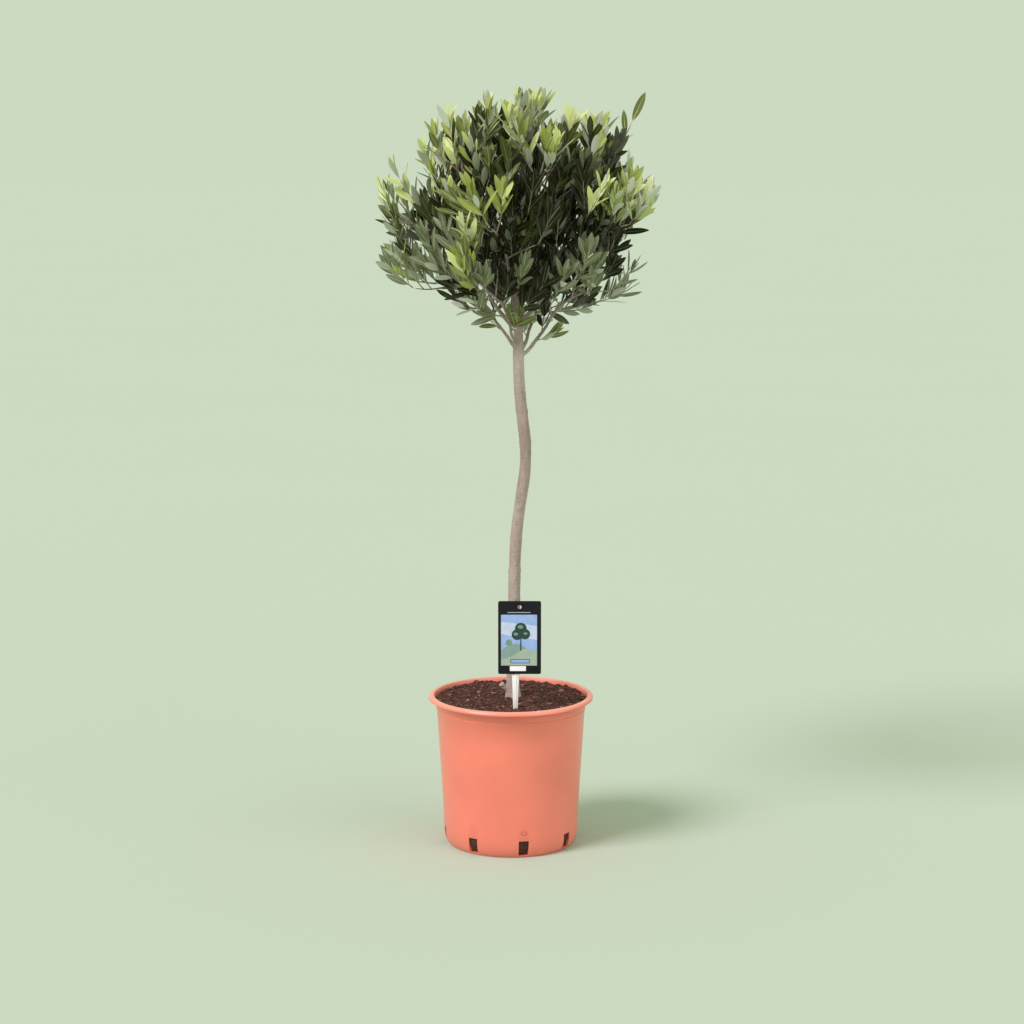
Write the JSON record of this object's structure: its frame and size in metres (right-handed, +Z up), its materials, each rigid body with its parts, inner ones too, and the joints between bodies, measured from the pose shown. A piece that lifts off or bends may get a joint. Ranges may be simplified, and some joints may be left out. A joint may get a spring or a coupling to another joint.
{
  "type": "potted olive tree",
  "caption": "Small olive tree with a round leafy head on a bare bent stem, in a tapering round plastic nursery pot filled with potting mix, with a plain plant label on a stick.",
  "frame": {"origin": "centre of the pot's flat underside, on the pot's axis", "axes": "+Z up along the pot's axis; +X to the right and -Y towards the viewer, with the label in front of the stem"},
  "size_m": [0.3546, 0.3612, 0.9968],
  "materials": {
    "pot": "smooth salmon-red moulded plastic with a soft sheen",
    "potting_mix": "coarse dark brown crumbs and bark chips, matt",
    "bark": "smooth grey-brown young bark with fine cross marks, matt",
    "foliage": "leathery leaves, satin olive green above and pale grey-green below",
    "label_card": "thin dark card with a low sheen",
    "label_stick": "smooth white plastic"
  },
  "bodies": {
    "root": {"pot": "pot", "potting_mix": "potting_mix", "label_card": "label_card", "label_stick": "label_stick", "trunk": "bark", "bough_leader": "bark", "bough_low_1": "bark", "bough_low_2": "bark", "bough_low_3": "bark", "bough_low_4": "bark", "bough_side_1": "bark", "bough_side_2": "bark", "bough_side_3": "bark", "bough_side_4": "bark", "bough_side_5": "bark", "bough_shoulder_1": "bark", "bough_shoulder_2": "bark", "bough_shoulder_3": "bark", "bough_shoulder_4": "bark", "bough_shoulder_5": "bark", "foliage_top": "foliage", "foliage_low_1": "foliage", "foliage_low_2": "foliage", "foliage_low_3": "foliage", "foliage_low_4": "foliage", "foliage_side_1": "foliage", "foliage_side_2": "foliage", "foliage_side_3": "foliage", "foliage_side_4": "foliage", "foliage_side_5": "foliage", "foliage_shoulder_1": "foliage", "foliage_shoulder_2": "foliage", "foliage_shoulder_3": "foliage", "foliage_shoulder_4": "foliage", "foliage_shoulder_5": "foliage"}
  },
  "joints": []
}
